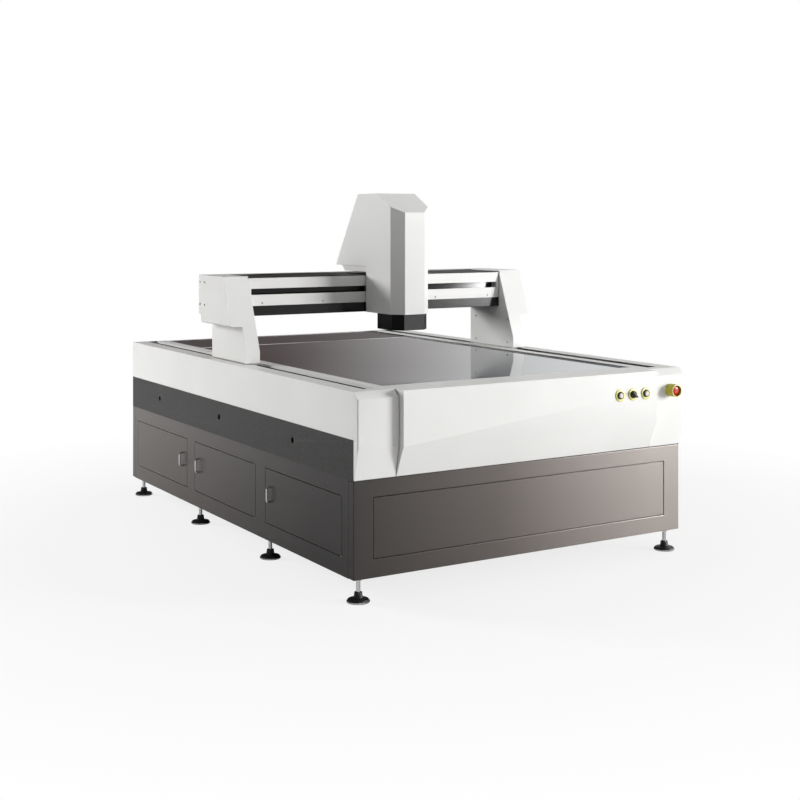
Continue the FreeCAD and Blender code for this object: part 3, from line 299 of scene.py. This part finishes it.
finishes = {name: coatedFinish(name, facts) for name, facts in finish.items()}
finishes["taupePaintedReflection"] = cabinetPaintWithPaintedReflection()
finishes["granite"] = graniteFinish()
finishes["glassWithPaintedReflection"] = stageGlassPaintedReflectionFinish()
finishes["diffuser"] = diffuserFinish()
finishes["chrome"] = metalFinish("polishedChrome", (0.78, 0.78, 0.79), (0.06, 0.12), (1, 1, 1), 0.02)
finishes["steel"] = metalFinish("groundSteel", (0.56, 0.56, 0.57), (0.22, 0.34), (1, 0.05, 1))
finishes["aluminium"] = metalFinish("milledAluminium", (0.70, 0.71, 0.72), (0.28, 0.40), (0.05, 1, 1))
finishes["magnet"] = metalFinish("magnetPlate", (0.42, 0.38, 0.30), (0.30, 0.42), (1, 0.2, 1))

slotFinish = {
    "white_paint": "whitePaint", "taupe_paint": "taupePaintedReflection", "granite": "granite", "black_metal": "blackCoat",
    "steel": "steel", "chrome": "chrome", "glass": "glassWithPaintedReflection", "light_panel": "diffuser", "cast": "castPaint",
    "aluminium": "aluminium", "black_plastic": "blackPlastic", "pale_plastic": "palePlastic",
    "red_plastic": "redPlastic", "yellow_plastic": "yellowPlastic", "magnet": "magnet",
}
nodeSlot = {part["node"]: part["material_slot"] for part in frame["record"]["subparts"]}


def wear(obj, *names):
    obj.data.materials.clear()
    for name in names:
        obj.data.materials.append(finishes[name])


nodeFinish = {name: slotFinish[slotName] for name, slotName in nodeSlot.items()}
nodeFinish.update({"rear_deck": "deckPaint", "cross_beam": "polishedBlack", "beam_top_plate": "blackCoat",
                   "stage_frame": "blackCoat", "nose_cover": "blackCoat", "controller_box": "castPaint",
                   "foot_stems": "chrome"})
bodyOf = {name: bodyName for bodyName, members in frame["record"]["behaviour"]["bodies"].items() for name in members}
for name, node in nodes.items():
    wear(node, nodeFinish[name])
print("finishes made")


# Mesh helpers. Places are given in millimetres from the middle of the cabinet's front edge on the floor.

def at(x, y, z):
    return Vector(((x + 7) / 1000, (y - 1155) / 1000, z / 1000))


def addPiece(name, form, bodyName, *names, smooth=False):
    mesh = bpy.data.meshes.new(name)
    form.normal_update()
    form.to_mesh(mesh)
    form.free()
    piece = bpy.data.objects.new(name, mesh)
    scene.collection.objects.link(piece)
    for finishName in names:
        mesh.materials.append(finishes[finishName])
    if smooth:
        for face in mesh.polygons:
            face.use_smooth = True
        mesh.set_sharp_from_angle(angle=math.radians(35))
    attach(piece, bodyName)
    return piece


def softEdges(piece, width, segments=3, angle=30):
    bevel = piece.modifiers.new("softEdges", "BEVEL")
    bevel.width = width
    bevel.segments = segments
    bevel.limit_method = "ANGLE"
    bevel.angle_limit = math.radians(angle)
    bevel.use_clamp_overlap = True
    bevel.harden_normals = True
    return bevel


lip = {"beam_upper_cover": {"from": 1.184, "rise": 0.0045}}    # a hemmed edge stands up to the top plate


def softened(name, width, segments=3):
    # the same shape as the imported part, with its edges rounded as rolled or pressed sheet is
    source = nodes[name]
    form = bmesh.new()
    form.from_mesh(source.data)
    bmesh.ops.remove_doubles(form, verts=form.verts, dist=0.00002)
    bmesh.ops.dissolve_limit(form, angle_limit=math.radians(1), verts=form.verts, edges=form.edges)
    for vert in form.verts:
        if name in lip and vert.co.z > lip[name]["from"]:
            vert.co.z += lip[name]["rise"]
    for face in form.faces:
        face.smooth = True
    piece = addPiece(name + "_soft", form, bodyOf[name], nodeFinish[name], smooth=True)
    softEdges(piece, width, segments)
    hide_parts(name)
    return piece


def turnedRing(form, centre, outward, profile, count=48):
    # profile rows are radius, height and finish number of the band that starts there
    outward = outward.normalized()
    side = outward.orthogonal().normalized()
    up = outward.cross(side)
    rings = []
    for radius, height, _ in profile:
        if radius == 0:
            rings.append([form.verts.new(centre + outward * height)])
            continue
        rings.append([form.verts.new(centre + outward * height + radius * (
            math.cos(2 * math.pi * step / count) * side + math.sin(2 * math.pi * step / count) * up))
            for step in range(count)])
    for number in range(len(rings) - 1):
        low, high = rings[number], rings[number + 1]
        for step in range(count):
            after = (step + 1) % count
            if len(low) == 1:
                face = form.faces.new((low[0], high[step], high[after]))
            elif len(high) == 1:
                face = form.faces.new((low[step], low[after], high[0]))
            else:
                face = form.faces.new((low[step], low[after], high[after], high[step]))
            face.material_index = profile[number][2]
            face.smooth = True


def addScrew(form, centre, outward, radius=0.005):
    # button head with a hexagon socket
    outward = outward.normalized()
    profile = [(radius, 0, 0), (radius * 0.98, radius * 0.18, 0), (radius * 0.80, radius * 0.42, 0),
               (radius * 0.56, radius * 0.55, 0), (radius * 0.50, radius * 0.54, 1)]
    turnedRing(form, centre, outward, profile, 24)
    side = outward.orthogonal().normalized()
    up = outward.cross(side)
    spots = [centre + outward * radius * height + radius * 0.5 * (
        math.cos(math.pi * step / 3) * side + math.sin(math.pi * step / 3) * up)
        for height in (0.54, 0.12) for step in range(6)]
    verts = [form.verts.new(spot) for spot in spots]
    for step in range(6):
        after = (step + 1) % 6
        form.faces.new((verts[step], verts[after], verts[6 + after], verts[6 + step])).material_index = 1
    form.faces.new(verts[6:]).material_index = 1


def addSlab(form, low, high, material=0):
    corners = [form.verts.new((x, y, z)) for x in (low.x, high.x) for y in (low.y, high.y) for z in (low.z, high.z)]
    for loop in ((0, 1, 3, 2), (4, 6, 7, 5), (0, 4, 5, 1), (2, 3, 7, 6), (0, 2, 6, 4), (1, 5, 7, 3)):
        form.faces.new([corners[number] for number in loop]).material_index = material


# Softer edges on what shows, radius in millimetres

edgeRadius = {
    "front_frame": 3.0, "rear_frame": 3.0, "left_side_frame": 2.5, "right_side_frame": 2.5,
    "front_panel": 0.8, "fixed_panels": 0.8, "front_door": 0.8, "middle_door": 0.8, "rear_door": 0.8,
    "granite_base": 1.5, "left_side_cover": 0.7, "right_side_cover": 0.7, "slot_strips": 0.7, "front_cover": 0.8,
    "left_front_cap": 0.8, "right_front_cap": 0.8, "rear_cover": 0.7, "rear_deck": 1.0, "glass_stage": 1.0,
    "left_leg_cover": 1.2, "right_leg_cover": 1.2, "cross_beam": 2.0, "beam_top_plate": 0.8,
    "beam_upper_cover": 0.7, "beam_lower_cover": 0.7, "beam_rear_cover": 0.8, "head_cover": 1.0,
    "head_saddle": 1.0, "nose_cover": 1.0,
}
for name, width in edgeRadius.items():
    softened(name, width / 1000)
print("edges softened")


# Black linings on the walls seen through the two long slots, ribbed as moulded rubber

lining = {"front": 62, "rear": 2376, "top": 803, "innerWall": 690, "innerLow": 640, "outerWall": 746.5,
          "outerLow": 730, "ribPitch": 26, "ribSlope": 4, "ribHeight": 0.9, "back": 0.6}


def slotLining(side, sign):
    form = bmesh.new()
    slope = lining["ribSlope"]
    for wall, facing, low in ((lining["innerWall"], 1, lining["innerLow"]),
                              (lining["outerWall"], -1, lining["outerLow"])):
        count = int((lining["top"] - low) / lining["ribPitch"])
        face = wall + facing * lining["back"]
        proud = face + facing * lining["ribHeight"]
        for rib in range(count):
            foot = low + rib * lining["ribPitch"]
            head = foot + lining["ribPitch"]
            section = ((wall, foot), (face, foot), (proud, foot + slope), (proud, head - slope), (face, head),
                       (wall, head))
            near = [form.verts.new(at(sign * x, lining["front"], z)) for x, z in section]
            far = [form.verts.new(at(sign * x, lining["rear"], z)) for x, z in section]
            for step in range(6):
                after = (step + 1) % 6
                form.faces.new((near[step], near[after], far[after], far[step]))
            form.faces.new(near)
            form.faces.new(far[::-1])
    bmesh.ops.recalc_face_normals(form, faces=form.faces)
    piece = addPiece(f"slot_lining_{side}", form, "machine_base", "rubber")


slotLining("left", -1)
slotLining("right", 1)


# Front controls: yellow rings with dark bezels, and the yellow shroud round the stop button. Their faces turned to the
# front are a paler yellow, painted light.
# Each row of a profile is radius, height and finish of the band that starts there.

control = {"places": (431, 502, 573), "stop": 740, "height": 714, "face": -62, "capFace": -32,
           "shroudLength": 0.045, "shroudRadius": 0.0275, "shroudWall": 0.0045}
towardsFront = Vector((0, -1, 0))
controlForm = bmesh.new()
for x in control["places"]:
    turnedRing(controlForm, at(x, control["face"], control["height"]), towardsFront, [
        (0.014, -0.034, 1), (0.014, 0, 2), (0.0255, 0, 2), (0.026, 0.0006, 2), (0.026, 0.0022, 2), (0.0245, 0.0030, 0),
        (0.0165, 0.0030, 1), (0.0158, 0.0036, 1), (0.0152, 0.0086, 1), (0.0143, 0.0096, 1), (0.0125, 0.0096, 1),
        (0.0112, 0.0084, 1), (0.0112, -0.034, 1), (0.014, -0.034, 1)])
length, outer, wall = control["shroudLength"], control["shroudRadius"], control["shroudWall"]
turnedRing(controlForm, at(control["stop"], control["capFace"], control["height"]), towardsFront, [
    (0.017, -0.030, 1), (0.017, 0, 2), (outer - 0.001, 0, 2), (outer, 0.001, 2), (outer, 0.010, 2),
    (outer - 0.0008, 0.0108, 2), (outer - 0.0008, 0.0122, 2), (outer, 0.0130, 2), (outer, length - 0.002, 0),
    (outer - 0.0008, length - 0.0005, 0), (outer - 0.002, length, 0), (outer - wall + 0.001, length, 0),
    (outer - wall, length - 0.001, 2), (outer - wall, 0.010, 1), (0.0125, 0.009, 1), (0.0092, 0.0085, 1),
    (0.0092, -0.030, 1), (0.017, -0.030, 1)])
controls = addPiece("control_rings", controlForm, "machine_base", "yellowPaintedLitFace", "blackPlastic", "yellowPlastic",
                    smooth=True)
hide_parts("control_housings")


# Bow pulls on the doors, one round rod each

pull = {"places": {"front_door": 717, "middle_door": 1491, "rear_door": 1691}, "height": 294, "face": -820,
        "start": 0.3, "out": 18, "half": 31, "rod": 4, "corner": 7}


def bowPull(door, y):
    line = bpy.data.curves.new(door + "_pull", "CURVE")
    line.dimensions = "3D"
    line.bevel_depth = pull["rod"] / 1000
    line.bevel_resolution = 6
    line.resolution_u = 8
    line.use_fill_caps = True
    out, half, corner = pull["out"], pull["half"], pull["corner"]
    stops = [(pull["start"], -half), (out - corner, -half), (out, -half + corner), (out, half - corner),
             (out - corner, half), (pull["start"], half)]
    spline = line.splines.new("BEZIER")
    spline.bezier_points.add(len(stops) - 1)
    bend = corner * 0.55    # makes each bend near a quarter circle
    handles = [((0, 0), (0, 0)), ((-1, 0), (bend, 0)), ((0, -bend), (0, 1)), ((0, -1), (0, bend)),
               ((bend, 0), (-1, 0)), ((0, 0), (0, 0))]
    for point, (reach, rise), (before, after) in zip(spline.bezier_points, stops, handles):
        point.handle_left_type = "FREE"
        point.handle_right_type = "FREE"
        point.co = at(pull["face"] - reach, y, pull["height"] + rise)
        point.handle_left = at(pull["face"] - reach - before[0], y, pull["height"] + rise + before[1])
        point.handle_right = at(pull["face"] - reach - after[0], y, pull["height"] + rise + after[1])
    piece = bpy.data.objects.new(door + "_pull", line)
    scene.collection.objects.link(piece)
    wear(piece, "chrome")
    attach(piece, door + "_leaf")
    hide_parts(door + "_handle")


for door, y in pull["places"].items():
    bowPull(door, y)


# Levelling feet: bright rims on the discs

foot = {"x": 775, "places": (44, 812, 1580, 2348), "inner": 0.0442, "outer": 0.0452}
rimForm = bmesh.new()
for sign in (-1, 1):
    for y in foot["places"]:
        turnedRing(rimForm, at(sign * foot["x"], y, 0), Vector((0, 0, 1)), [
            (foot["inner"], 0.0012, 0), (foot["outer"], 0.0018, 0), (foot["outer"], 0.0052, 0),
            (foot["inner"], 0.0060, 0), (foot["inner"], 0.0012, 0)])
rims = addPiece("foot_rims", rimForm, "machine_base", "chrome", smooth=True)


# Screws on the leg covers and the beam's covers

screwPlaces = {
    "legSide": 828, "legRow": 1405, "coverEnd": 820, "coverRow": 1478, "legHeights": (1057, 1162),
    "innerPlate": 703, "innerSpots": ((1120, 832), (1400, 832), (1120, 950), (1400, 950)),
    "beamSpots": (-632, -316, 0, 316, 632), "beamFace": 1195, "beamHeight": 1071,
    "large": 0.005, "small": 0.0045,
}
left, right, forward = Vector((-1, 0, 0)), Vector((1, 0, 0)), Vector((0, -1, 0))
gantryScrews = bmesh.new()
for sign, outward in ((-1, left), (1, right)):
    for z in screwPlaces["legHeights"]:
        addScrew(gantryScrews, at(sign * screwPlaces["legSide"], screwPlaces["legRow"], z), outward,
                 screwPlaces["large"])
        addScrew(gantryScrews, at(sign * screwPlaces["coverEnd"], screwPlaces["coverRow"], z), outward,
                 screwPlaces["small"])
    for y, z in screwPlaces["innerSpots"]:
        addScrew(gantryScrews, at(sign * screwPlaces["innerPlate"], y, z), -outward, screwPlaces["large"])
for x in screwPlaces["beamSpots"]:
    addScrew(gantryScrews, at(x, screwPlaces["beamFace"], screwPlaces["beamHeight"]), forward, screwPlaces["small"])
screws = addPiece("gantry_screws", gantryScrews, "gantry", "steel", "blackCoat")


# Black seal along the glass at the left and front, and a pale bead along its right and rear edges

seal = {"left": -633, "right": 633, "front": 107, "rear": 1959, "width": 8, "low": 798.5, "high": 801.2,
        "rightBead": 3, "rearBead": 6, "rightTop": 800.8}
inside, beadSide = seal["left"] + seal["width"], seal["right"] - seal["rightBead"]
sealForm = bmesh.new()
addSlab(sealForm, at(seal["left"], seal["front"], seal["low"]), at(inside, seal["rear"], seal["high"]))
addSlab(sealForm, at(inside, seal["front"], seal["low"]), at(beadSide, seal["front"] + seal["width"], seal["high"]))
addSlab(sealForm, at(beadSide, seal["front"], seal["low"]), at(seal["right"], seal["rear"], seal["rightTop"]), 1)
addSlab(sealForm, at(inside, seal["rear"] - seal["rearBead"], seal["low"]),
        at(beadSide, seal["rear"], seal["high"]), 1)
glassSeal = addPiece("glass_seal", sealForm, "machine_base", "rubber", "whitePaint", smooth=True)
softEdges(glassSeal, 0.0006)


# White end pieces that close the beam's covers against the legs

beamEnd = {"inner": 687.5, "outer": 702.5, "front": 1195, "rear": 1239, "low": 1058.5, "high": 1189.5}
endForm = bmesh.new()
for sign in (-1, 1):
    near, far = sorted((sign * beamEnd["inner"], sign * beamEnd["outer"]))
    addSlab(endForm, at(near, beamEnd["front"], beamEnd["low"]), at(far, beamEnd["rear"], beamEnd["high"]))
endPieces = addPiece("beam_end_pieces", endForm, "gantry", "whitePaint", smooth=True)
softEdges(endPieces, 0.0007)
print("details made")


# Floor, backdrop and lights

ground = {"half": 60, "height": -0.0005, "paint": 0.82, "nearWhite": 0.80, "nearReach": 1.6, "farReach": 3.2}


def stageFloor():
    # pale paint that keeps the machine's shadow and fades to plain white away from it
    form = bmesh.new()
    half = ground["half"]
    corners = [form.verts.new((x, y, ground["height"]))
               for x, y in ((-half, -half), (half, -half), (half, half), (-half, half))]
    form.faces.new(corners)
    mesh = bpy.data.meshes.new("floor")
    form.to_mesh(mesh)
    form.free()
    floor = bpy.data.objects.new("floor", mesh)
    scene.collection.objects.link(floor)
    material = bpy.data.materials.new("floorWhite")
    material.use_nodes = True
    tree = material.node_tree
    tree.nodes.clear()
    output = tree.nodes.new("ShaderNodeOutputMaterial")
    path = tree.nodes.new("ShaderNodeLightPath")
    paint = tree.nodes.new("ShaderNodeBsdfDiffuse")
    paint.inputs["Color"].default_value = shade((1, 1, 1), ground["paint"])
    glow = tree.nodes.new("ShaderNodeEmission")
    glow.inputs["Color"].default_value = (1, 1, 1, 1)
    glow.inputs["Strength"].default_value = 1
    coords = tree.nodes.new("ShaderNodeTexCoord")
    reach = tree.nodes.new("ShaderNodeVectorMath")
    reach.operation = "LENGTH"
    link(tree, coords, "Object", reach, 0)
    spread = tree.nodes.new("ShaderNodeMapRange")
    spread.inputs["From Min"].default_value = ground["nearReach"]
    spread.inputs["From Max"].default_value = ground["farReach"]
    spread.inputs["To Min"].default_value = ground["nearWhite"]
    link(tree, reach, "Value", spread, "Value")
    seen = tree.nodes.new("ShaderNodeMath")
    seen.operation = "MAXIMUM"
    link(tree, path, "Is Camera Ray", seen, 0)
    link(tree, path, "Is Transmission Ray", seen, 1)
    scale = tree.nodes.new("ShaderNodeMath")
    scale.operation = "MULTIPLY"
    link(tree, spread, "Result", scale, 1)
    mix = tree.nodes.new("ShaderNodeMixShader")
    link(tree, seen, "Value", scale, 0)
    tree.links.new(scale.outputs[0], mix.inputs["Fac"])
    tree.links.new(paint.outputs[0], mix.inputs[1])
    tree.links.new(glow.outputs[0], mix.inputs[2])
    tree.links.new(mix.outputs[0], output.inputs["Surface"])
    mesh.materials.append(material)


stageFloor()

studio = {"softLight": 0.25, "darkSide": (0.125, 0.103, 0.100, 1), "darkUpTo": 0.42, "brightFrom": 0.64}


def studioWorld():
    # white to the camera; in reflections the left half of the room is dark and the right half white
    world = bpy.data.worlds.new("studio")
    scene.world = world
    world.use_nodes = True
    tree = world.node_tree
    tree.nodes.clear()
    output = tree.nodes.new("ShaderNodeOutputWorld")
    path = tree.nodes.new("ShaderNodeLightPath")
    coords = tree.nodes.new("ShaderNodeTexCoord")
    split = tree.nodes.new("ShaderNodeSeparateXYZ")
    link(tree, coords, "Generated", split, "Vector")
    room = ramp(tree, split, "X", [(studio["darkUpTo"], studio["darkSide"]), (studio["brightFrom"], (1, 1, 1, 1))])
    room.color_ramp.interpolation = "EASE"
    strengths = {"soft": studio["softLight"], "mirrored": 1, "plain": 1}
    backgrounds = {}
    for name, strength in strengths.items():
        backgrounds[name] = tree.nodes.new("ShaderNodeBackground")
        backgrounds[name].inputs["Color"].default_value = (1, 1, 1, 1)
        backgrounds[name].inputs["Strength"].default_value = strength
    link(tree, room, "Color", backgrounds["mirrored"], "Color")
    seen = tree.nodes.new("ShaderNodeMath")
    seen.operation = "MAXIMUM"
    link(tree, path, "Is Camera Ray", seen, 0)
    link(tree, path, "Is Transmission Ray", seen, 1)
    glossyMix = tree.nodes.new("ShaderNodeMixShader")
    seenMix = tree.nodes.new("ShaderNodeMixShader")
    tree.links.new(path.outputs["Is Glossy Ray"], glossyMix.inputs["Fac"])
    tree.links.new(backgrounds["soft"].outputs[0], glossyMix.inputs[1])
    tree.links.new(backgrounds["mirrored"].outputs[0], glossyMix.inputs[2])
    tree.links.new(seen.outputs[0], seenMix.inputs["Fac"])
    tree.links.new(glossyMix.outputs[0], seenMix.inputs[1])
    tree.links.new(backgrounds["plain"].outputs[0], seenMix.inputs[2])
    tree.links.new(seenMix.outputs[0], output.inputs["Surface"])


studioWorld()

lamps = {
    "frontRight": {"place": (6.6, -6.4, 2.0), "aim": (0.2, -0.9, 0.6), "size": (3.2, 2.6), "watts": 800,
                   "mirrored": True},
    "leftRear": {"place": (-6.0, 6.2, 3.3), "aim": (-0.8, 0.4, 0.6), "size": (2.4, 2.4), "watts": 575,
                 "mirrored": False},
    "topSoft": {"place": (0.6, -0.6, 4.4), "aim": (0, 0, 0.7), "size": (3.6, 3.6), "watts": 24, "mirrored": True},
}
for name, facts in lamps.items():
    lampData = bpy.data.lights.new(name, "AREA")
    lampData.shape = "RECTANGLE"
    lampData.size, lampData.size_y = facts["size"]
    lampData.energy = facts["watts"]
    lamp = bpy.data.objects.new(name, lampData)
    lamp.location = facts["place"]
    lamp.rotation_euler = (Vector(facts["aim"]) - Vector(facts["place"])).to_track_quat("-Z", "Y").to_euler()
    lamp.visible_glossy = facts["mirrored"]
    scene.collection.objects.link(lamp)
print("lights placed")
